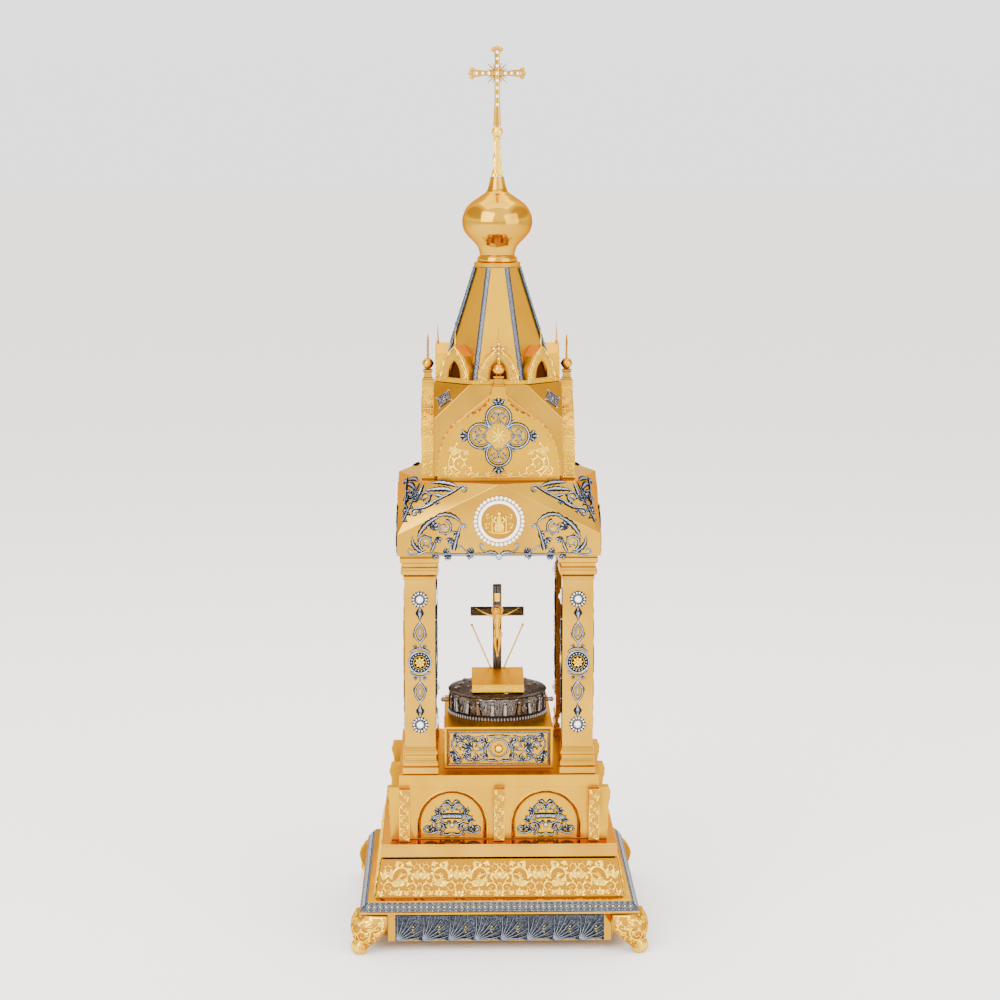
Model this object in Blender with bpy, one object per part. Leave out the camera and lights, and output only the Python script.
"""Altar tabernacle: a gilt shrine in tiers, with oxidised silver overlays and pearls.

A footed base carries an arcaded tier, four square columns, a gabled roof, a tower with ogee
kokoshnik gables, an octagonal tent and an onion dome with a cross. Under the roof stand a tomb
with a sliding drawer, a relief drum and a crucifix. Metres, +Z up, the front looks along -Y.
The plan is square and has four like sides, so one side is modelled and the others turn it.
"""
import math

import bmesh
import bpy
from mathutils import Matrix, Vector

SIDES = ("front", "right", "back", "left")
CORNERS = ("front_right", "back_right", "back_left", "front_left")

GAP = 0.0003                # between pieces that touch
DRAWER_PLAY = 0.0006        # between the drawer and its case

# Feet: cast leaves that wrap the corners of the apron and end in a scrolled toe
FOOT_HEIGHT = 0.0378
TOE_RADIUS = 0.0078
TOE_WIDTH = 0.0120

# Base: apron, sloping chain band, sloping foliage panel
APRON_LIFT = 0.0095
APRON_HALF = 0.1283
FOOT_LAP = 0.0203           # how far a foot covers the apron's end
FOOT_NOTCH = APRON_HALF - FOOT_LAP
TOE_REACH = 0.0082          # of the toe's middle beyond the apron
TOE_CENTRE = APRON_HALF + TOE_REACH
FRIEZE_MARGIN = 0.0072
FRIEZE_HALF = FOOT_NOTCH - FRIEZE_MARGIN
FRIEZE_THICK = 0.0018
FRIEZE_RELIEF = 0.0014
FRIEZE_LEAVES = 8
SKIRT_HEIGHT = 0.0023
SKIRT_PROUD = 0.0069
SKIRT_HALF = APRON_HALF + SKIRT_PROUD
BAND_HEIGHT = 0.0078
BAND_INSET = 0.0009         # of the band's foot from the skirt's edge
BAND_FOOT_HALF = SKIRT_HALF - BAND_INSET
BAND_LEAN = 0.0068          # of the band's top towards the middle
BAND_TOP_HALF = BAND_FOOT_HALF - BAND_LEAN
BAND_THICK = 0.0016
STRIP_HEIGHT = 0.0029
STRIP_STEP = 0.0072         # from the top of the band in to the foot of the panel
PANEL_FOOT_HALF = BAND_TOP_HALF - STRIP_STEP
PANEL_HEIGHT = 0.0362
PANEL_LEAN = 0.0064         # of the panel's top towards the middle
PANEL_TOP_HALF = PANEL_FOOT_HALF - PANEL_LEAN
PANEL_THICK = 0.0012
PANEL_RELIEF = 0.0018
PANEL_SCROLLS = 6

# Ledge, arcade and slab
LEDGE_HEIGHT = 0.0140
LEDGE_HALF = PANEL_TOP_HALF + GAP
ARCADE_HEIGHT = 0.0520
ARCADE_HALF = 0.0950
SLAB_HEIGHT = 0.0120
SLAB_HALF = 0.0970
CONSOLE_WIDTH = 0.0106
CONSOLE_OFFSET = 0.0918     # of the outer consoles from the middle
CONSOLE_PROUD = 0.0130
ARCH_RADIUS = 0.0345
ARCH_OFFSET = 0.0457        # of each arch from the middle
ARCH_DEPTH = 0.0050
ARCH_SPLAY = 0.0035
ARCH_CROWN = 0.0035         # gold left above each arch

# Columns
COLUMN_OFFSET = 0.0762
SHAFT_HALF = 0.0148
COLUMN_BASE_HEIGHT = 0.0280
SHAFT_HEIGHT = 0.1642
CAPITAL_HEIGHT = 0.0223
ROUNDEL_RADIUS = 0.0085
ROUNDEL_OFFSET = 0.0616     # of the pearl roundels from the middle one
CENTRE_ROUNDEL_RADIUS = 0.0110
ORNAMENT_PROUD = 0.0030
STEM_HALF = 0.0024

# Tomb and its drawer
TOMB_HALF = 0.0531
TOMB_HALF_DEPTH = 0.0710
TOMB_HEIGHT = 0.0413
TOMB_WALL = 0.0025
DRAWER_WALL = 0.0016
DRAWER_FRONT = 0.0030
DRAWER_RELIEF = 0.0014
KNOB_RADIUS = 0.0045
KNOB_LENGTH = 0.0080

# Relief drum, chest, crucifix and rods
DRUM_RADIUS = 0.0496
DRUM_HEIGHT = 0.0266
DRUM_MOUND = 0.0030
DRUM_NICHES = 6
LUG_RADIUS = 0.0025
LUG_REACH = 0.0080
CHEST_HALF = 0.0257
CHEST_FRONT = 0.0400        # from the drum's middle to the chest's front wall
CHEST_BACK = 0.0040
CHEST_WALL_HEIGHT = 0.0068
CHEST_RIDGE_HEIGHT = 0.0165
CROSS_HEIGHT = 0.1003
CROSS_HALF = 0.0043
CROSS_THICK = 0.0050
CROSS_SPAN = 0.0534
CROSS_ARM_DROP = 0.0273     # from the top of the cross to the middle of its arms
CORPUS_HEIGHT = 0.0520
HALO_RADIUS = 0.0066
ROD_RADIUS = 0.0010
ROD_HEIGHT = 0.0440
ROD_SPREAD = 0.0190

# Roof, medallions and gable scrolls
ROOF_HALF = 0.0975
ROOF_EAVES = 0.0209         # height of the vertical wall at the corners
ROOF_HEIGHT = 0.0695
ROOF_CORNER = 0.0740        # place of the four tower corners
MEDALLION_RADIUS = 0.0248
MEDALLION_DROP = 0.0355     # from the gable's peak to the medallion's middle
MEDALLION_THICK = 0.0020
SCROLL_THICK = 0.0018
STRING_HALF = 0.0930

# Tower, kokoshniks, quatrefoils and finials
TOWER_HALF = 0.0620
TOWER_HEIGHT = 0.0910
TOWER_CUT = 0.0344          # of the sloping cut along the top edges
TOWER_CUT_DROP = 0.0326
KOKOSHNIK_HALF = 0.0583
KOKOSHNIK_HEIGHT = 0.0908
KOKOSHNIK_THICK = 0.0120
KOKOSHNIK_RIM = 0.0014
QUATREFOIL_HALF = 0.0390
QUATREFOIL_RISE = 0.0432
QUATREFOIL_THICK = 0.0016
LOZENGE_HALF = 0.0180
FINIAL_POST_HALF = 0.0053
FINIAL_POST_HEIGHT = 0.0095
FINIAL_BALL_RADIUS = 0.0057
FINIAL_CROSS_HEIGHT = 0.0250
FINIAL_CROSS_SPAN = 0.0188
FINIAL_CROSS_THICK = 0.0026

# Tent, lucarnes and ribs
TENT_HEIGHT = 0.1104
TENT_FOOT_HALF = 0.0559
TENT_TOP_HALF = 0.0216
RIB_HALF = 0.0020
RIB_PROUD = 0.0012
LUCARNE_FACE = 0.0600       # distance of the lucarne fronts from the axis
LUCARNE_HALF = 0.0202
LUCARNE_HEIGHT = 0.0360
LUCARNE_OPENING_HALF = 0.0085
LUCARNE_OPENING_DEPTH = 0.0030
LUCARNE_FOOT = 0.0040

# Dome, stem and top cross
DOME_RADIUS = 0.0345
DOME_HEIGHT = 0.0870
STEM_HEIGHT = 0.0480
STEM_RADIUS = 0.0062
STEM_BALL_RADIUS = 0.0058
TOP_CROSS_HEIGHT = 0.0770
TOP_CROSS_SPAN = 0.0578
TOP_CROSS_HALF = 0.0033
TOP_CROSS_THICK = 0.0040
TOP_CROSS_ARM_DROP = 0.0264
TREFOIL_RADIUS = 0.0056

# Heights at which the tiers start
Z_BASE = FOOT_HEIGHT + GAP
Z_BAND = Z_BASE + SKIRT_HEIGHT
Z_STRIP = Z_BAND + BAND_HEIGHT
Z_PANEL = Z_STRIP + STRIP_HEIGHT
Z_PANEL_TOP = Z_PANEL + PANEL_HEIGHT
Z_LEDGE = Z_PANEL_TOP + GAP
Z_ARCADE = Z_LEDGE + LEDGE_HEIGHT + GAP
Z_SLAB = Z_ARCADE + ARCADE_HEIGHT
Z_FLOOR = Z_SLAB + SLAB_HEIGHT + GAP
Z_ROOF = Z_FLOOR + COLUMN_BASE_HEIGHT + SHAFT_HEIGHT + CAPITAL_HEIGHT + GAP
Z_TOWER = Z_ROOF + ROOF_HEIGHT + GAP
Z_TENT = Z_TOWER + TOWER_HEIGHT + GAP
Z_DOME = Z_TENT + TENT_HEIGHT + GAP
Z_STEM = Z_DOME + DOME_HEIGHT + GAP
Z_TOP_CROSS = Z_STEM + STEM_HEIGHT + GAP
Z_DRUM = Z_FLOOR + TOMB_HEIGHT + GAP
Z_CHEST = Z_DRUM + DRUM_HEIGHT + GAP


def clear_scene():
    """Remove every object, so that the script can run again in an open file."""
    for obj in list(bpy.data.objects):
        bpy.data.objects.remove(obj, do_unlink=True)


def metal(name, colour, roughness, metallic=1.0):
    """A Principled material for one finish."""
    mat = bpy.data.materials.new(name)
    mat.use_nodes = True
    shader = mat.node_tree.nodes["Principled BSDF"]
    shader.inputs["Base Color"].default_value = (*colour, 1.0)
    shader.inputs["Roughness"].default_value = roughness
    shader.inputs["Metallic"].default_value = metallic
    mat.diffuse_color = (*colour, 1.0)
    return mat


def close_mesh(bm):
    """Merge doubles and turn the faces of a closed shell outward."""
    bmesh.ops.remove_doubles(bm, verts=bm.verts, dist=1e-6)
    bmesh.ops.recalc_face_normals(bm, faces=bm.faces)
    return bm


def place(name, bm, material, turn=0.0):
    """Put a shell in the scene as a named object, turned about the shrine's axis."""
    mesh = bpy.data.meshes.new(name)
    close_mesh(bm).to_mesh(mesh)
    bm.free()
    mesh.materials.append(material)
    obj = bpy.data.objects.new(name, mesh)
    bpy.context.collection.objects.link(obj)
    obj.rotation_euler.z = turn
    return obj


def copies(stem, names, first):
    """Turn the first object by quarter turns: the four copies share its mesh."""
    first.name = f"{stem}_{names[0]}"
    for quarter, name in enumerate(names[1:], start=1):
        obj = bpy.data.objects.new(f"{stem}_{name}", first.data)
        bpy.context.collection.objects.link(obj)
        obj.rotation_euler.z = quarter * math.pi / 2


def combine(target, tools, operation):
    """Join the tool shells to the target, or cut them from it, and drop the tools."""
    for tool in tools:
        cut = target.modifiers.new(operation.title(), "BOOLEAN")
        cut.operation = operation
        cut.solver = "EXACT"
        cut.object = tool
    bpy.context.view_layer.update()
    graph = bpy.context.evaluated_depsgraph_get()
    result = bpy.data.meshes.new_from_object(target.evaluated_get(graph))
    target.modifiers.clear()
    material = target.data.materials[0]
    bm = bmesh.new()
    bm.from_mesh(result)
    bmesh.ops.remove_doubles(bm, verts=bm.verts, dist=2e-6)
    bmesh.ops.dissolve_degenerate(bm, dist=2e-6, edges=bm.edges)
    bm.to_mesh(target.data)
    bm.free()
    target.data.materials.clear()
    target.data.materials.append(material)
    for tool in tools:
        bpy.data.objects.remove(tool, do_unlink=True)
    return target


def fuse(name, shells, material):
    """One solid from several overlapping shells."""
    parts = [place(name, shell, material) for shell in shells]
    return combine(parts[0], parts[1:], "UNION")


def loft(rings, close_ends=True):
    """A shell through rings of points that all have as many points."""
    bm = bmesh.new()
    rows = [[bm.verts.new(p) for p in ring] for ring in rings]
    count = len(rows[0])
    for low, high in zip(rows, rows[1:]):
        for i in range(count):
            j = (i + 1) % count
            bm.faces.new((low[i], low[j], high[j], high[i]))
    if close_ends:
        bm.faces.new(rows[0][::-1])
        bm.faces.new(rows[-1])
    return bm


def square_stack(levels, centre=(0.0, 0.0), z0=0.0):
    """Square sections, given as half width and height, one above the other."""
    cx, cy = centre
    turns = ((-1, -1), (1, -1), (1, 1), (-1, 1))
    return loft([[(cx + a * half, cy + b * half, z0 + z) for a, b in turns] for half, z in levels])


def box(low, high):
    """A plain box between two corners."""
    (x0, y0, z0), (x1, y1, z1) = low, high
    rings = [[(x0, y0, z), (x1, y0, z), (x1, y1, z), (x0, y1, z)] for z in (z0, z1)]
    return loft(rings)


def prism(outline, y0, y1, splay=1.0):
    """An outline in x and z, run from depth y0 to depth y1 and scaled there by splay."""
    cx = sum(p[0] for p in outline) / len(outline)
    cz = sum(p[1] for p in outline) / len(outline)
    near = [(x, y0, z) for x, z in outline]
    far = [(cx + (x - cx) * splay, y1, cz + (z - cz) * splay) for x, z in outline]
    return loft([near, far])


def turned(profile, segments, centre=(0.0, 0.0, 0.0), shape=None):
    """A profile of radius and height, spun about a vertical line. shape scales the radius."""
    cx, cy, cz = centre
    bm = bmesh.new()
    rows = []
    for r, z in profile:
        if r == 0.0:
            rows.append([bm.verts.new((cx, cy, cz + z))])
            continue
        row = []
        for k in range(segments):
            a = 2 * math.pi * (k + 0.5) / segments
            rr = r * shape(a, z) if shape else r
            row.append(bm.verts.new((cx + rr * math.cos(a), cy + rr * math.sin(a), cz + z)))
        rows.append(row)
    for low, high in zip(rows, rows[1:]):
        for k in range(segments):
            n = (k + 1) % segments
            if len(low) == 1:
                bm.faces.new((low[0], high[n], high[k]))
            elif len(high) == 1:
                bm.faces.new((low[k], low[n], high[0]))
            else:
                bm.faces.new((low[k], low[n], high[n], high[k]))
    for row, flip in ((rows[0], True), (rows[-1], False)):
        if len(row) > 1:
            bm.faces.new(row[::-1] if flip else row)
    return bm


def ball_profile(radius, steps):
    """Half a circle from the lower pole to the upper one, for turned."""
    middle = [(radius * math.sin(math.pi * k / steps), -radius * math.cos(math.pi * k / steps))
              for k in range(1, steps)]
    return [(0.0, -radius)] + middle + [(0.0, radius)]


def disc(radius, y0, y1, x, z, sides):
    """A round plate that faces the front."""
    points = []
    for k in range(sides):
        a = 2 * math.pi * (k + 0.5) / sides
        points.append((x + radius * math.cos(a), z + radius * math.sin(a)))
    return prism(points, y0, y1)


def tube(points, radii, sides=6, flat=1.0):
    """A round bar along points, with a radius at each. flat squeezes it in depth."""
    rings = []
    pts = [Vector(p) for p in points]
    for i, p in enumerate(pts):
        ahead = pts[min(i + 1, len(pts) - 1)] - pts[max(i - 1, 0)]
        along = ahead.normalized()
        across = along.cross(Vector((0, 1, 0))).normalized()
        depth = across.cross(along).normalized()
        ring = []
        for k in range(sides):
            a = 2 * math.pi * (k + 0.5) / sides
            ring.append(p + radii[i] * (math.cos(a) * across + flat * math.sin(a) * depth))
        rings.append(ring)
    return loft(rings)


def ribbon(points, widths, y0, y1):
    """A flat strip in the plane of x and z, with a half width at each point."""
    rings = []
    for i, (x, z) in enumerate(points):
        xa, za = points[max(i - 1, 0)]
        xb, zb = points[min(i + 1, len(points) - 1)]
        length = math.hypot(xb - xa, zb - za)
        nx, nz = -(zb - za) / length, (xb - xa) / length
        w = widths[i]
        left = (x + nx * w, z + nz * w)
        right = (x - nx * w, z - nz * w)
        rings.append([(left[0], y1, left[1]), (left[0], y0, left[1]),
                      (right[0], y0, right[1]), (right[0], y1, right[1])])
    return loft(rings)


def spiral(centre, r0, r1, a0, turns, count):
    """Points of a spiral that starts at radius r0 and angle a0 and ends at radius r1."""
    pts = []
    for i in range(count):
        t = i / (count - 1)
        a = a0 + 2 * math.pi * turns * t
        r = r0 + (r1 - r0) * t
        pts.append((centre[0] + r * math.cos(a), centre[1] + r * math.sin(a)))
    return pts


def mirrored(points):
    """The same points on the other side of the middle plane."""
    return [(-x, z) for x, z in points]


def relief_plate(half0, half1, face0, face1, z0, z1, thick, height, nx, nz):
    """A plate on a sloping face, with a carved front.

    It runs from height z0 to z1, where the half width goes from half0 to half1 and the face from
    face0 to face1. height gives the carving in metres for u across and v up, both from 0 to 1.
    """
    rise = z1 - z0
    run = face0 - face1
    slope = math.hypot(rise, run)
    out = Vector((0.0, -rise / slope, run / slope))

    def on_face(u, v, proud):
        half = half0 + (half1 - half0) * v
        base = Vector(((2 * u - 1) * half, -(face0 + (face1 - face0) * v), z0 + rise * v))
        return base + out * proud

    bm = bmesh.new()
    grid = []
    for j in range(nz + 1):
        v = j / nz
        row = []
        for i in range(nx + 1):
            u = i / nx
            edge = i in (0, nx) or j in (0, nz)
            row.append(bm.verts.new(on_face(u, v, thick + (0.0 if edge else height(u, v)))))
        grid.append(row)
    back = [bm.verts.new(on_face(u, v, GAP)) for u, v in ((0, 0), (1, 0), (1, 1), (0, 1))]
    for j in range(nz):
        for i in range(nx):
            a, b, c, d = grid[j][i], grid[j][i + 1], grid[j + 1][i + 1], grid[j + 1][i]
            if (i + j) % 2:
                bm.faces.new((a, b, c))
                bm.faces.new((a, c, d))
            else:
                bm.faces.new((a, b, d))
                bm.faces.new((b, c, d))
    bm.faces.new([back[0], back[1]] + grid[0][::-1])
    bm.faces.new([back[2], back[3]] + grid[nz])
    bm.faces.new([back[1], back[2]] + [row[nx] for row in grid[::-1]])
    bm.faces.new([back[3], back[0]] + [row[0] for row in grid])
    bm.faces.new(back[::-1])
    return bm


def foot_shell():
    """A leaf that wraps the corner: sections that swell at the knee and narrow to the toe."""
    levels = ((0.0, 0.0000, 0.0300, 0.0245), (0.24, 0.0006, 0.0352, 0.0295),
              (0.44, 0.0040, 0.0352, 0.0300), (0.62, 0.0100, 0.0325, 0.0285),
              (0.78, 0.0170, 0.0308, 0.0285), (0.90, 0.0215, 0.0300, 0.0285))
    steps = 4
    rings = []
    for drop, inner, wing, nose in levels:
        z = FOOT_HEIGHT * (1 - drop)
        lap = wing - inner
        power = math.log((nose - inner) / lap) / math.log(math.cos(math.pi / 4))
        ring = [(FOOT_NOTCH + GAP + inner, -(FOOT_NOTCH + GAP + inner), z)]
        for k in range(steps + 1):
            a = math.pi / 2 * k / steps
            ridge = 1.0 if k % 2 == 0 else 0.95
            across = max(math.cos(a), 0.0) ** power * lap * ridge
            along = max(math.sin(a), 0.0) ** power * lap * ridge
            start = FOOT_NOTCH + GAP + inner
            ring.append((start + across, -(start + along), z))
        rings.append(ring)
    return loft(rings)


def toe_shell():
    """The scrolled toe: a short bar across the corner, with a flat facet on the ground."""
    sides = 8
    rise = TOE_RADIUS * math.cos(math.pi / sides)
    rings = []
    for end, scale in ((-0.5, 0.75), (-0.36, 1.0), (0.36, 1.0), (0.5, 0.75)):
        ring = []
        for k in range(sides):
            a = 2 * math.pi * (k + 0.5) / sides
            out = TOE_RADIUS * scale * math.sin(a) / math.sqrt(2)
            along = TOE_WIDTH * end / math.sqrt(2)
            up = rise + TOE_RADIUS * scale * math.cos(a)
            ring.append((TOE_CENTRE + out + along, -TOE_CENTRE - out + along, up))
        rings.append(ring)
    return loft(rings)


def make_feet(gilt):
    """Four cast feet."""
    copies("foot", CORNERS, fuse("foot", [foot_shell(), toe_shell()], gilt))


def make_base(gilt, silver):
    """The base body, and the friezes, bands and panels on its four sides."""
    apron = (APRON_HALF, FOOT_NOTCH)
    plan = []
    for a, b in ((1, -1), (1, 1), (-1, 1), (-1, -1)):
        corner = [(apron[0] * a, apron[1] * b), (apron[1] * a, apron[1] * b),
                  (apron[1] * a, apron[0] * b)]
        plan += corner if a * b > 0 else corner[::-1]
    lower = loft([[(x, y, z) for x, y in plan] for z in (APRON_LIFT, Z_BASE + SKIRT_HEIGHT / 2)])
    upper = square_stack(((SKIRT_HALF, Z_BASE), (SKIRT_HALF, Z_BAND - 0.0004),
                          (BAND_FOOT_HALF, Z_BAND), (BAND_TOP_HALF, Z_STRIP),
                          (BAND_TOP_HALF, Z_STRIP + STRIP_HEIGHT * 0.4),
                          (PANEL_FOOT_HALF, Z_PANEL), (PANEL_TOP_HALF, Z_PANEL_TOP)))
    fuse("base_body", [upper, lower], gilt)

    def leaves(u, v):
        t = (u * FRIEZE_LEAVES) % 1.0
        vein = abs(t - 0.15 - 0.7 * v)
        return FRIEZE_RELIEF * (1.0 - min(vein * 2.2, 1.0))

    low, high = APRON_LIFT + 0.0008, FOOT_HEIGHT - 0.0020
    frieze = relief_plate(FRIEZE_HALF, FRIEZE_HALF, APRON_HALF, APRON_HALF, low, high,
                          FRIEZE_THICK, leaves, 2 * FRIEZE_LEAVES + 1, 2)
    copies("leaf_frieze", SIDES, place("frieze", frieze, silver))

    def ridge(u, v):
        return BAND_THICK * 0.6

    band = relief_plate(BAND_FOOT_HALF - 0.0006, BAND_TOP_HALF - 0.0002, BAND_FOOT_HALF,
                        BAND_TOP_HALF, Z_BAND, Z_STRIP, BAND_THICK * 0.6, ridge, 4, 2)
    copies("chain_band", SIDES, place("band", band, silver))

    def scrolls(u, v):
        t = (u * PANEL_SCROLLS) % 1.0
        radius = math.hypot((t - 0.5) * 1.3, v - 0.5)
        ring = 1.0 - min(abs(radius - 0.33) * 5.0, 1.0)
        return PANEL_RELIEF * max(ring, 1.0 - min(radius * 7.0, 1.0))

    inset = 0.0008
    panel = relief_plate(PANEL_FOOT_HALF - inset, PANEL_TOP_HALF - inset, PANEL_FOOT_HALF,
                         PANEL_TOP_HALF, Z_PANEL, Z_PANEL_TOP, PANEL_THICK, scrolls,
                         2 * PANEL_SCROLLS, 4)
    copies("foliage_panel", SIDES, place("panel", panel, gilt))


def console_shell(x):
    """A scrolled bracket between ledge and slab, seen in profile and run along its width."""
    shape = ((0.00, 0.70), (0.70, 0.86), (0.86, 1.00), (1.00, 0.86))
    sunk = ARCADE_HALF - 0.004
    ring = [(sunk, Z_ARCADE)]
    for up, out in shape:
        ring.append((ARCADE_HALF + CONSOLE_PROUD * out, Z_ARCADE + ARCADE_HEIGHT * up))
    ring.append((sunk, Z_ARCADE + ARCADE_HEIGHT))
    half = CONSOLE_WIDTH / 2
    return loft([[(xx, -y, z) for y, z in ring] for xx in (x - half, x + half)])


def arch_cutter(x, y0, y1):
    """A round arch that stands on the arcade's foot. It narrows with depth."""
    foot = Z_ARCADE + 0.0006
    spring = Z_SLAB - ARCH_CROWN - ARCH_RADIUS
    steps = 6

    def outline(r):
        pts = [(x + r, foot), (x + r, spring)]
        pts += [(x + r * math.cos(math.pi * k / steps), spring + r * math.sin(math.pi * k / steps))
                for k in range(1, steps)]
        return pts + [(x - r, spring), (x - r, foot)]

    near = [(px, y0, pz) for px, pz in outline(ARCH_RADIUS)]
    far = [(px, y1, pz) for px, pz in outline(ARCH_RADIUS - ARCH_SPLAY)]
    return loft([near, far])


def make_middle(gilt):
    """The ledge, and the arcade with its slab, consoles and arched recesses."""
    lip = 0.0016
    ledge = square_stack(((LEDGE_HALF - 2 * lip, 0.0), (LEDGE_HALF, lip),
                          (LEDGE_HALF, LEDGE_HEIGHT - lip), (LEDGE_HALF - lip, LEDGE_HEIGHT)),
                         z0=Z_LEDGE)
    place("ledge", ledge, gilt)
    body = square_stack(((ARCADE_HALF, Z_ARCADE), (ARCADE_HALF, Z_SLAB), (SLAB_HALF, Z_SLAB),
                         (SLAB_HALF, Z_SLAB + SLAB_HEIGHT)))
    arcade = place("arcade", body, gilt)
    cutters = []
    consoles = []
    for quarter in range(4):
        turn = quarter * math.pi / 2
        for x in (-ARCH_OFFSET, ARCH_OFFSET):
            shell = arch_cutter(x, -ARCADE_HALF - 1e-4, -ARCADE_HALF + ARCH_DEPTH)
            cutters.append(place("arch", shell, gilt, turn))
        for x in (-CONSOLE_OFFSET, 0.0, CONSOLE_OFFSET):
            consoles.append(place("console", console_shell(x), gilt, turn))
    combine(arcade, cutters, "DIFFERENCE")
    combine(arcade, consoles, "UNION")


def column_profile():
    """Half widths and heights of a column, from its plinth to its capital."""
    s = SHAFT_HALF
    base = ((0.0025, 0.00), (0.0025, 0.24), (0.0008, 0.44), (0.0018, 0.56), (0.0001, 0.97))
    capital = ((0.0000, 0.00), (0.0034, 0.18), (0.0036, 0.34), (0.0026, 0.48), (0.0044, 0.62),
               (0.0030, 1.00))
    levels = [(s + out, COLUMN_BASE_HEIGHT * up) for out, up in base]
    top = COLUMN_BASE_HEIGHT + SHAFT_HEIGHT
    return levels + [(s + out, top + CAPITAL_HEIGHT * up) for out, up in capital]


def ornament_outline(middle):
    """Three roundels on one stem, as they lie on a face of a shaft."""
    right = []
    for rise, radius in ((-ROUNDEL_OFFSET, ROUNDEL_RADIUS), (0.0, CENTRE_ROUNDEL_RADIUS),
                         (ROUNDEL_OFFSET, ROUNDEL_RADIUS)):
        neck = math.acos(STEM_HALF / radius)
        for a in (-neck, -neck / 3, neck / 3, neck):
            right.append((radius * math.cos(a), middle + rise + radius * math.sin(a)))
    return right + mirrored(right)[::-1]


def make_columns(gilt):
    """Four square columns with roundels and stems on every face of the shaft."""
    centre = Vector((COLUMN_OFFSET, -COLUMN_OFFSET, 0.0))
    shaft = place("column", square_stack(column_profile(), z0=Z_FLOOR), gilt)
    outline = ornament_outline(Z_FLOOR + COLUMN_BASE_HEIGHT + SHAFT_HEIGHT / 2)
    ornaments = []
    for quarter in range(4):
        shell = prism(outline, -SHAFT_HALF - ORNAMENT_PROUD, -SHAFT_HALF + 0.001)
        ornaments.append(place("ornament", shell, gilt, quarter * math.pi / 2))
    combine(shaft, ornaments, "UNION")
    shaft.data.transform(Matrix.Translation(centre))
    copies("column", CORNERS, shaft)


def make_tomb(gilt, silver):
    """The tomb case, open in front, with the drawer that fills it and the drawer's knob."""
    low = (-TOMB_HALF, -TOMB_HALF_DEPTH, Z_FLOOR)
    high = (TOMB_HALF, TOMB_HALF_DEPTH, Z_FLOOR + TOMB_HEIGHT)
    case = place("tomb_case", box(low, high), gilt)
    w = TOMB_WALL
    hollow = box((low[0] + w, low[1] - 0.01, low[2] + w), (high[0] - w, high[1] - w, high[2] - w))
    combine(case, [place("hollow", hollow, gilt)], "DIFFERENCE")

    half = TOMB_HALF - TOMB_WALL - DRAWER_PLAY
    z0 = Z_FLOOR + TOMB_WALL + DRAWER_PLAY
    z1 = Z_FLOOR + TOMB_HEIGHT - TOMB_WALL - DRAWER_PLAY
    y0 = -TOMB_HALF_DEPTH
    y1 = TOMB_HALF_DEPTH - TOMB_WALL - DRAWER_PLAY
    tray = place("drawer", box((-half, y0, z0), (half, y1, z1)), gilt)
    t = DRAWER_WALL
    inside = box((-half + t, y0 + DRAWER_FRONT, z0 + t), (half - t, y1 - t, z1 + 0.01))
    combine(tray, [place("inside", inside, gilt)], "DIFFERENCE")

    def scrolls(u, v):
        a = abs(2 * u - 1)
        best = 0.0
        for centre, size in ((0.30, 0.30), (0.72, 0.30)):
            radius = math.hypot((a - centre) * 1.45, (v - 0.5) * 0.95)
            best = max(best, 1.0 - min(abs(radius - size) * 7.0, 1.0))
        return DRAWER_RELIEF * best

    edge = 0.0010
    carved = relief_plate(half - edge, half - edge, -y0 - 0.0006, -y0 - 0.0006, z0 + edge,
                          z1 - edge, 0.0012, scrolls, 14, 4)
    combine(tray, [place("carved", carved, silver)], "UNION")

    front = -y0 + 0.0006 + GAP
    reach = front + KNOB_LENGTH
    mid = (z0 + z1) / 2
    profile = ((0.0024, front), (0.0016, front + 0.3 * KNOB_LENGTH),
               (KNOB_RADIUS, front + 0.5 * KNOB_LENGTH), (KNOB_RADIUS, front + 0.7 * KNOB_LENGTH),
               (0.6 * KNOB_RADIUS, reach), (0.0, reach))
    knob = turned(profile, 10)
    bmesh.ops.rotate(knob, verts=knob.verts, cent=(0, 0, 0),
                     matrix=Matrix.Rotation(math.pi / 2, 3, "X"))
    bmesh.ops.translate(knob, verts=knob.verts, vec=(0, 0, mid))
    place("drawer_knob", knob, gilt)


def make_drum(silver):
    """A blackened relief drum with niches, a beaded foot, a mound on top and two lugs."""
    r, h = DRUM_RADIUS, DRUM_HEIGHT
    profile = ((0.97 * r, 0.0), (0.995 * r, 0.10 * h), (0.94 * r, 0.22 * h),
               (0.95 * r, 0.55 * h), (0.99 * r, 0.84 * h), (0.985 * r, h), (0.86 * r, h),
               (0.70 * r, h + DRUM_MOUND), (0.45 * r, h))

    def niches(angle, z):
        carved = 0.18 * h < z < 0.8 * h
        wave = 0.5 + 0.5 * math.cos(DRUM_NICHES * angle)
        return 1.0 - (0.022 * wave if carved else 0.0)

    drum = place("relief_drum", turned(profile, 3 * DRUM_NICHES, (0, 0, Z_DRUM), niches), silver)
    z = Z_DRUM + 0.42 * h
    lug = tube([(-r - LUG_REACH, 0, z), (-0.8 * r, 0, z), (0.8 * r, 0, z), (r + LUG_REACH, 0, z)],
               [LUG_RADIUS * k for k in (1.0, 0.8, 0.8, 1.0)])
    bmesh.ops.translate(lug, verts=lug.verts, vec=(0, 0.0003, 0))
    combine(drum, [place("lug", lug, silver)], "UNION")
    seat = box((-CHEST_HALF - GAP, -CHEST_FRONT - GAP, Z_DRUM + h),
               (CHEST_HALF + GAP, CHEST_BACK + CROSS_THICK + 3 * GAP, Z_DRUM + 2 * h))
    combine(drum, [place("seat", seat, silver)], "DIFFERENCE")


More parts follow.
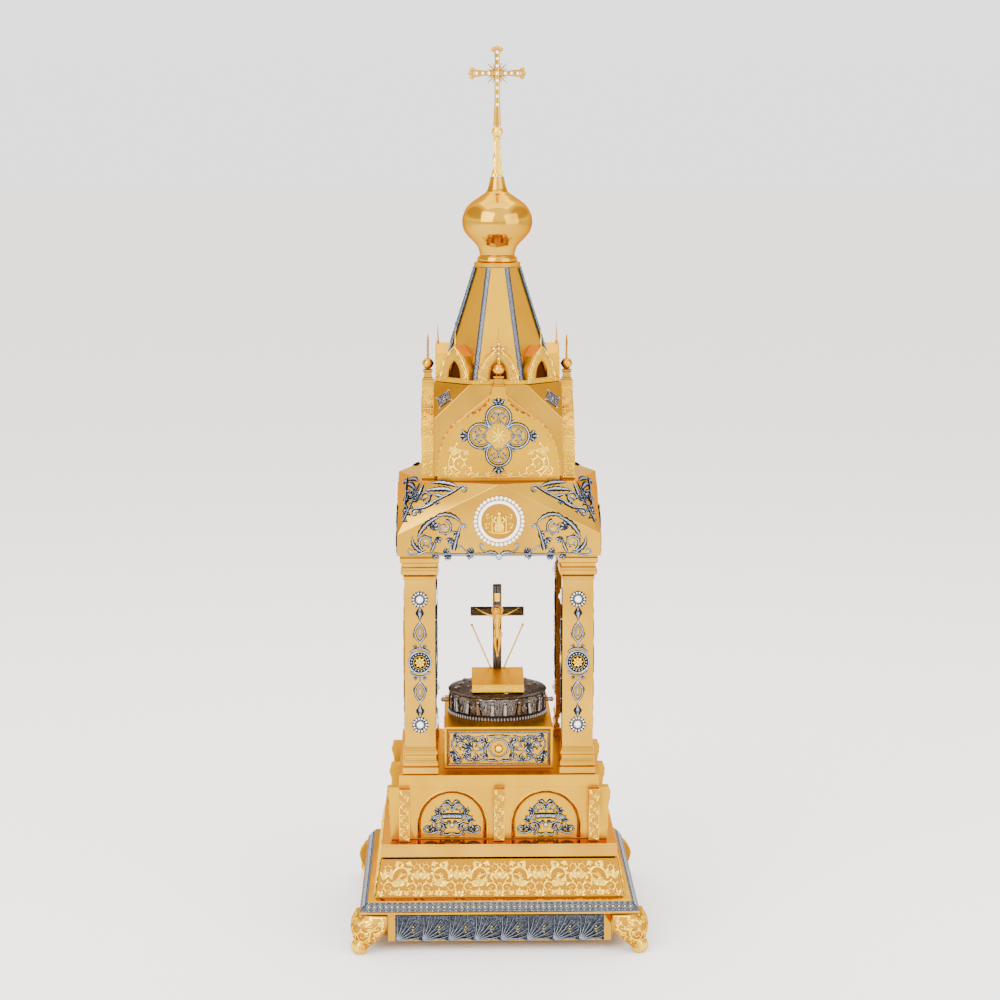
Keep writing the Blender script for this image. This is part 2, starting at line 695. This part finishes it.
def make_chest(gilt):
    """The gold chest: a low wall under a lid that rises to the back."""
    lip = 0.0012
    ring = [(-CHEST_FRONT, 0.0), (-CHEST_FRONT, CHEST_WALL_HEIGHT),
            (-CHEST_FRONT - 0.2 * lip, CHEST_WALL_HEIGHT + lip), (-0.006, CHEST_RIDGE_HEIGHT),
            (CHEST_BACK, CHEST_RIDGE_HEIGHT), (CHEST_BACK, 0.0)]
    rings = [[(x, y, Z_CHEST + z) for y, z in ring] for x in (-CHEST_HALF, CHEST_HALF)]
    place("chest", loft(rings), gilt)


def make_crucifix(gilt, silver):
    """The dark cross, the figure on it and the two rods beside it."""
    y0 = CHEST_BACK + GAP
    y1 = y0 + CROSS_THICK
    top = Z_CHEST + CROSS_HEIGHT
    arm = top - CROSS_ARM_DROP
    c, span = CROSS_HALF, CROSS_SPAN / 2
    outline = [(c, Z_CHEST), (c, arm - c), (span, arm - c), (span, arm + c), (c, arm + c), (c, top)]
    outline += mirrored(outline)[::-1]
    cross = place("crucifix_cross", prism(outline, y0, y1), silver)
    plate = box((-0.9 * c, y0 - 0.0008, top - 0.17 * CROSS_HEIGHT),
                (0.9 * c, y0 + 0.001, top - 0.10 * CROSS_HEIGHT))
    combine(cross, [place("title", plate, silver)], "UNION")

    h = CORPUS_HEIGHT
    feet = arm + 0.055 * h - h
    deep = y0 - GAP - 0.033 * h
    hand = 0.43 * h
    body = tube([(0, deep, feet), (0.012 * h, deep, feet + 0.20 * h),
                 (-0.006 * h, deep, feet + 0.44 * h), (0, deep, feet + 0.60 * h),
                 (0, deep, feet + 0.80 * h), (0, deep, feet + 0.87 * h)],
                [k * h for k in (0.034, 0.052, 0.072, 0.060, 0.085, 0.034)], 6, 0.45)
    cloth = tube([(0, deep, feet + 0.36 * h), (0, deep, feet + 0.44 * h),
                  (0, deep, feet + 0.53 * h)], [k * h for k in (0.078, 0.094, 0.070)], 6, 0.42)
    neck = tube([(0, deep, feet + 0.84 * h), (0.006 * h, deep, feet + 0.90 * h)],
                [0.026 * h, 0.026 * h], 6, 0.7)
    head = tube([(0.006 * h, deep, feet + 0.865 * h), (0.008 * h, deep, feet + 0.89 * h),
                 (0.010 * h, deep, feet + 0.935 * h), (0.008 * h, deep, feet + 0.975 * h),
                 (0.006 * h, deep, feet + 0.995 * h)],
                [k * h for k in (0.022, 0.042, 0.050, 0.040, 0.018)], 6, 0.62)
    arms = tube([(-hand, deep, arm + 0.045 * h), (-0.26 * h, deep, arm - 0.035 * h),
                 (-0.09 * h, deep, feet + 0.825 * h), (0.09 * h, deep, feet + 0.825 * h),
                 (0.26 * h, deep, arm - 0.035 * h), (hand, deep, arm + 0.045 * h)],
                [k * h for k in (0.020, 0.024, 0.034, 0.034, 0.024, 0.020)], 6, 0.8)
    halo = disc(HALO_RADIUS, y0 - GAP - 0.0011, y0 - GAP - 0.0001, 0.0, feet + 0.925 * h, 10)
    rest = box((-0.075 * h, deep - 0.01 * h, feet - 0.035 * h),
               (0.075 * h, y0 - GAP - 0.0001, feet + 0.004 * h))
    fuse("corpus", [body, cloth, neck, head, arms, halo, rest], gilt)

    foot_x = CHEST_HALF - 0.019
    z0 = Z_CHEST + CHEST_RIDGE_HEIGHT + GAP
    for side, name in ((-1, "rod_left"), (1, "rod_right")):
        pts = [(side * (foot_x + ROD_SPREAD * t), 0.0, z0 + ROD_HEIGHT * t)
               for t in (0.0, 0.04, 0.08, 0.93, 0.96, 1.0)]
        radii = [ROD_RADIUS * k for k in (2.0, 2.0, 1.0, 1.0, 1.9, 1.2)]
        bar = tube(pts, radii, 6)
        for vert in bar.verts:
            vert.co.z = max(vert.co.z, z0)
        place(name, bar, gilt)


def gable_scroll_shells(face):
    """A string along the eaves that carries a C-scroll, a leaf curl and a stalk on each side."""
    s = STRING_HALF
    low = Z_ROOF + 0.038 * s
    line = [(-s, low), (-0.3 * s, low + 0.011 * s), (0.0, low - 0.005 * s),
            (0.3 * s, low + 0.011 * s), (s, low)]
    shells = [ribbon(line, [s * k for k in (0.015, 0.019, 0.065, 0.019, 0.015)],
                     face - SCROLL_THICK, face)]
    mid = 0.62 * s
    main = spiral((mid, low + 0.161 * s), 0.177 * s, 0.048 * s, -0.95 * math.pi, -0.85, 6)
    curl = spiral((mid + 0.204 * s, low + 0.081 * s), 0.113 * s, 0.032 * s, 0.85 * math.pi,
                  -0.75, 4)
    stalk = [(mid - 0.177 * s, low), (mid - 0.167 * s, low + 0.210 * s)]
    for points, wide in ((main, 0.0247), (curl, 0.0204), (stalk, 0.0183)):
        last = len(points) - 1
        widths = [wide * s * (0.55 + 0.45 * math.sin(math.pi * (0.15 + 0.75 * i / last)))
                  for i in range(last + 1)]
        for side in (points, mirrored(points)):
            proud = SCROLL_THICK * (1.0 + 0.1 * len(shells))
            shells.append(ribbon(side, widths, face - proud, face))
    return shells


def make_roof(gilt, silver):
    """The gabled roof: a hull over square eaves, four peaks and four tower corners."""
    bm = bmesh.new()
    for a in (-1, 1):
        for b in (-1, 1):
            bm.verts.new((a * ROOF_HALF, b * ROOF_HALF, Z_ROOF))
            bm.verts.new((a * ROOF_HALF, b * ROOF_HALF, Z_ROOF + ROOF_EAVES))
            bm.verts.new((a * ROOF_CORNER, b * ROOF_CORNER, Z_ROOF + ROOF_HEIGHT))
        bm.verts.new((a * ROOF_HALF, 0.0, Z_ROOF + ROOF_HEIGHT))
        bm.verts.new((0.0, a * ROOF_HALF, Z_ROOF + ROOF_HEIGHT))
    bmesh.ops.convex_hull(bm, input=bm.verts)
    bmesh.ops.dissolve_limit(bm, angle_limit=0.001, verts=bm.verts, edges=bm.edges)
    place("roof", bm, gilt)

    face = -ROOF_HALF - GAP
    copies("gable_scroll", SIDES, fuse("scroll", gable_scroll_shells(face), silver))
    z = Z_ROOF + ROOF_HEIGHT - MEDALLION_DROP
    r = MEDALLION_RADIUS
    t = MEDALLION_THICK
    profile = ((r, 0.0), (0.97 * r, 1.3 * t), (0.78 * r, 1.9 * t), (0.68 * r, 0.9 * t))
    rings = []
    for radius, out in profile:
        rings.append([(radius * math.cos(2 * math.pi * k / 12), face - out,
                       z + radius * math.sin(2 * math.pi * k / 12)) for k in range(12)])
    plate = loft(rings)
    front = face - 0.9 * t
    seated = tube([(0, front, z - 0.50 * r), (0, front, z - 0.30 * r), (0, front, z - 0.10 * r),
                   (0, front, z + 0.12 * r), (0, front, z + 0.20 * r)],
                  [k * r for k in (0.32, 0.30, 0.17, 0.20, 0.07)], 5, 0.22)
    head = tube([(0, front, z + 0.16 * r), (0, front, z + 0.27 * r), (0, front, z + 0.40 * r)],
                [k * r for k in (0.06, 0.10, 0.06)], 5, 0.5)
    medal = fuse("medal", [plate, seated, head], gilt)
    copies("medallion", SIDES, medal)


def ogee(half, height):
    """Right half of a kokoshnik outline: a round shoulder that turns into a hollow neck."""
    def bezier(p, count):
        pts = []
        for i in range(count + 1):
            t = i / count
            k = ((1 - t) ** 3, 3 * t * (1 - t) ** 2, 3 * t * t * (1 - t), t ** 3)
            pts.append((sum(w * q[0] for w, q in zip(k, p)) * half,
                        sum(w * q[1] for w, q in zip(k, p)) * height))
        return pts
    shoulder = bezier(((1.0, 0.0), (1.02, 0.38), (0.86, 0.60), (0.43, 0.70)), 4)
    neck = bezier(((0.43, 0.70), (0.19, 0.76), (0.12, 0.84), (0.105, 1.0)), 2)
    return shoulder + neck[1:]


def kokoshnik_shell():
    """A thick ogee plate whose face lies a little deeper than its rim."""
    right = ogee(KOKOSHNIK_HALF, KOKOSHNIK_HEIGHT)
    outline = [(x, z) for x, z in right] + mirrored(right)[::-1]
    y0 = -(TOWER_HALF + GAP)
    y1 = y0 - KOKOSHNIK_THICK
    field = (0.93, 0.94, 0.03)

    def inner(p):
        return p[0] * field[0], p[1] * field[1] + field[2] * KOKOSHNIK_HEIGHT

    z0 = Z_TOWER
    small = [inner(p) for p in outline]
    return loft([[(x, y0, z0 + z) for x, z in outline],
                 [(x, y1, z0 + z) for x, z in outline],
                 [(x, y1, z0 + z) for x, z in small],
                 [(x, y1 + KOKOSHNIK_RIM, z0 + z) for x, z in small]])


def quatrefoil_shells(face):
    """A pierced frame of four lobes with pointed tips. Its inner cusps hold a lozenge."""
    centre = Z_TOWER + QUATREFOIL_RISE
    q = QUATREFOIL_HALF
    corner = ((1.0, 0.0), (0.85, 0.09), (0.72, 0.26), (0.42, 0.42), (0.26, 0.72), (0.09, 0.85))
    outer, hole = [], []
    for quarter in range(4):
        a = quarter * math.pi / 2
        for u, v in corner:
            r, turn = math.hypot(u, v) * q, math.atan2(v, u) + a
            inner = min(r - 0.0036, 0.76 * q)
            if u == v:
                inner = 0.92 * LOZENGE_HALF / math.sqrt(2)
            outer.append((r * math.cos(turn), centre + r * math.sin(turn)))
            hole.append((inner * math.cos(turn), centre + inner * math.sin(turn)))
    y0, y1 = face, face - QUATREFOIL_THICK
    bm = bmesh.new()
    loops = [[bm.verts.new((x, y, z)) for x, z in line] for line, y in
             ((outer, y0), (outer, y1), (hole, y1), (hole, y0))]
    n = len(outer)
    for k in range(4):
        a, b = loops[k], loops[(k + 1) % 4]
        for i in range(n):
            j = (i + 1) % n
            bm.faces.new((a[i], a[j], b[j], b[i]))
    s = LOZENGE_HALF
    lozenge = prism([(s, centre), (0, centre + s), (-s, centre), (0, centre - s)],
                    y1 - 0.0006, y0 - 0.0001)
    return [bm, lozenge]


def make_tower(gilt, silver):
    """The tower with cut corners, its four kokoshniks, quatrefoils and finials."""
    h = TOWER_HALF
    cut = h - TOWER_CUT
    top = Z_TOWER + TOWER_HEIGHT
    bm = bmesh.new()
    for a in (-1, 1):
        for b in (-1, 1):
            bm.verts.new((a * h, b * h, Z_TOWER))
            bm.verts.new((a * h, b * h, top - TOWER_CUT_DROP))
            bm.verts.new((a * h, b * cut, top))
            bm.verts.new((a * cut, b * h, top))
    bmesh.ops.convex_hull(bm, input=bm.verts)
    bmesh.ops.dissolve_limit(bm, angle_limit=0.001, verts=bm.verts, edges=bm.edges)
    place("tower", bm, gilt)
    copies("kokoshnik", SIDES, place("kokoshnik", kokoshnik_shell(), gilt))

    face = -(TOWER_HALF + GAP + KOKOSHNIK_THICK - KOKOSHNIK_RIM + GAP)
    copies("quatrefoil", SIDES, fuse("quatrefoil", quatrefoil_shells(face), silver))

    y = -(TOWER_HALF + GAP + KOKOSHNIK_THICK / 2)
    z = Z_TOWER + KOKOSHNIK_HEIGHT + GAP
    p = FINIAL_POST_HALF
    post = square_stack(((p, 0.0), (p, 0.82 * FINIAL_POST_HEIGHT), (0.8 * p, FINIAL_POST_HEIGHT)),
                        (0.0, y), z)
    rb = FINIAL_BALL_RADIUS
    zb = z + FINIAL_POST_HEIGHT + 0.85 * rb
    ball = turned(ball_profile(rb, 4), 6, (0.0, y, zb))
    w = 0.0014
    span = FINIAL_CROSS_SPAN / 2
    foot = zb + 0.8 * rb
    tip = zb + 0.85 * rb + FINIAL_CROSS_HEIGHT
    arm = tip - 0.36 * FINIAL_CROSS_HEIGHT
    right = [(w, foot), (w, arm - w), (span, arm - w), (span, arm + w), (w, arm + w),
             (w, tip)]
    outline = right + mirrored(right)[::-1]
    t = FINIAL_CROSS_THICK / 2
    cross = prism(outline, y - t, y + t)
    copies("finial", SIDES, fuse("finial", [post, ball, cross], gilt))


def octagon(half, z, turn=0.0):
    """Corners of a regular octagon with a flat to the front, at half its width across flats."""
    r = half / math.cos(math.pi / 8)
    return [(r * math.cos(math.pi / 8 + math.pi / 4 * k + turn),
             r * math.sin(math.pi / 8 + math.pi / 4 * k + turn), z) for k in range(8)]


def tent_half(z):
    """Half width across flats of the tent at a height above its foot."""
    return TENT_FOOT_HALF + (TENT_TOP_HALF - TENT_FOOT_HALF) * z / TENT_HEIGHT


def tent_shell(offset, low, high):
    """The tent, or a copy grown by offset that runs from low to high."""
    return loft([octagon(tent_half(z) + offset, Z_TENT + z) for z in (low, high)])


def lucarne_outline(half, height, foot):
    """A pointed arch that bows outward, on a straight foot."""
    right = ((1.0, 0.0), (0.97, 0.36), (0.62, 0.72), (0.0, 1.0))
    points = [(half * u, foot + height * v) for u, v in right]
    return points + mirrored(points[:-1])[::-1]


def make_tent(gilt, silver):
    """The tent, the lucarnes round its foot and the silver ribs on its arrises."""
    place("tent", tent_shell(0.0, 0.0, TENT_HEIGHT), gilt)

    foot = loft([octagon(LUCARNE_FACE + 0.0004, Z_TENT + z) for z in (0.0, LUCARNE_FOOT)])
    crown = place("lucarne_crown", foot, gilt)
    gables = []
    niches = []
    for k in range(8):
        turn = k * math.pi / 4
        outline = lucarne_outline(LUCARNE_HALF, LUCARNE_HEIGHT, Z_TENT + 0.0002 + 1e-4 * (k % 2))
        back = tent_half(LUCARNE_HEIGHT) - 0.004
        gables.append(place("gable", prism(outline, -LUCARNE_FACE, -back), gilt, turn))
        opening = lucarne_outline(LUCARNE_OPENING_HALF, 0.68 * LUCARNE_HEIGHT,
                                  Z_TENT + LUCARNE_FOOT + 0.001)
        niche = prism(opening, -LUCARNE_FACE - 0.001, -LUCARNE_FACE + LUCARNE_OPENING_DEPTH)
        niches.append(place("niche", niche, gilt, turn))
    combine(crown, gables, "UNION")
    combine(crown, niches, "DIFFERENCE")
    grown = place("grown", tent_shell(GAP, -0.01, TENT_HEIGHT), gilt)
    combine(crown, [grown], "DIFFERENCE")

    low, high = LUCARNE_FOOT + 0.0010, TENT_HEIGHT - 0.0002
    ring_low = TENT_HEIGHT - 0.0035
    ring = loft([octagon(tent_half(z) + RIB_PROUD + 0.0004, Z_TENT + z) for z in (ring_low, high)])
    ribs = place("tent_ribs", ring, silver)
    bars = []
    for k in range(8):
        a = math.pi / 8 + k * math.pi / 4
        out = Vector((math.cos(a), math.sin(a), 0.0))
        side = Vector((-math.sin(a), math.cos(a), 0.0))
        ends = []
        for z in (low, high - 0.0004):
            r = tent_half(z) / math.cos(math.pi / 8)
            up = Vector((0.0, 0.0, Z_TENT + z))
            ends.append([up + out * (r + RIB_PROUD) + side * (0.5 * RIB_HALF),
                         up + out * (r + RIB_PROUD) - side * (0.5 * RIB_HALF),
                         up + out * (r - 0.0012) - side * RIB_HALF,
                         up + out * (r - 0.0012) + side * RIB_HALF])
        bars.append(place("bar", loft(ends), silver))
    combine(ribs, bars, "UNION")
    core = place("core", tent_shell(GAP, -0.002, TENT_HEIGHT + 0.002), silver)
    combine(ribs, [core], "DIFFERENCE")


def make_top(gilt):
    """The onion dome, the twisted stem and the cross."""
    r, h = DOME_RADIUS, DOME_HEIGHT
    profile = ((0.655, 0.00), (0.665, 0.045), (0.57, 0.06), (0.57, 0.09), (0.49, 0.13),
               (0.555, 0.215), (0.685, 0.275), (0.83, 0.335), (0.945, 0.40), (1.0, 0.50),
               (0.935, 0.61), (0.78, 0.70), (0.475, 0.785), (0.293, 0.845), (0.188, 1.0))
    place("dome", turned([(r * a, h * b) for a, b in profile], 14, (0, 0, Z_DOME)), gilt)

    s, q = STEM_HEIGHT, STEM_RADIUS
    stem = ((1.0, 0.0), (1.0, 0.06), (0.75, 0.10), (0.84, 0.16), (0.76, 0.34), (0.62, 0.56),
            (0.82, 0.62), (0.55, 0.68), (0.45, 0.74))

    def flutes(angle, z):
        twisted = 0.13 * s < z < 0.58 * s
        return 1.0 + (0.12 * math.cos(4 * angle - 300.0 * z) if twisted else 0.0)

    rb = STEM_BALL_RADIUS
    mid = s - 0.92 * rb
    levels = [(q * a, s * b) for a, b in stem] + [(0.45 * q, mid)]
    shaft = turned(levels, 8, (0, 0, Z_STEM), flutes)
    ball = turned(ball_profile(rb, 5), 8, (0, 0, Z_STEM + mid))
    lid = box((-0.02, -0.02, Z_STEM + s), (0.02, 0.02, Z_STEM + s + 0.02))
    stem_obj = fuse("stem", [shaft, ball], gilt)
    combine(stem_obj, [place("lid", lid, gilt)], "DIFFERENCE")

    w = TOP_CROSS_HALF
    t = TOP_CROSS_THICK / 2
    top = Z_TOP_CROSS + TOP_CROSS_HEIGHT
    arm = top - TOP_CROSS_ARM_DROP
    span = TOP_CROSS_SPAN / 2
    tr = TREFOIL_RADIUS
    upright = box((-w, -t, Z_TOP_CROSS), (w, t, top - 0.5 * tr))
    beam = box((-span + 0.5 * tr, -0.96 * t, arm - w), (span - 0.5 * tr, 0.96 * t, arm + w))
    shells = [upright, beam]
    lobes = [(0.0, top - tr, 1.0), (span - tr, arm, 1.0), (-span + tr, arm, 1.0),
             (0.0, arm, 1.35), (0.0, Z_TOP_CROSS + 0.26 * TOP_CROSS_HEIGHT, 0.92)]
    for i, (x, z, k) in enumerate(lobes):
        thick = t * (1.25 + 0.03 * i)
        shells.append(disc(tr * k, -thick, thick, x, z, 6))
    ray = 0.0107
    for a in (1, -1):
        pts = [(-ray, arm - a * ray), (ray, arm + a * ray)]
        shells.append(ribbon(pts, [0.0016, 0.0016], -0.5 * t - 0.0001 * a, 0.5 * t + 0.0001 * a))
    fuse("top_cross", shells, gilt)


def main():
    """Build every piece of the shrine."""
    clear_scene()
    gilt = metal("gilt_brass", (0.90, 0.62, 0.26), 0.22)
    silver = metal("oxidised_silver", (0.30, 0.33, 0.40), 0.38)
    make_feet(gilt)
    make_base(gilt, silver)
    make_middle(gilt)
    make_columns(gilt)
    make_tomb(gilt, silver)
    make_drum(silver)
    make_chest(gilt)
    make_crucifix(gilt, silver)
    make_roof(gilt, silver)
    make_tower(gilt, silver)
    make_tent(gilt, silver)
    make_top(gilt)


main()
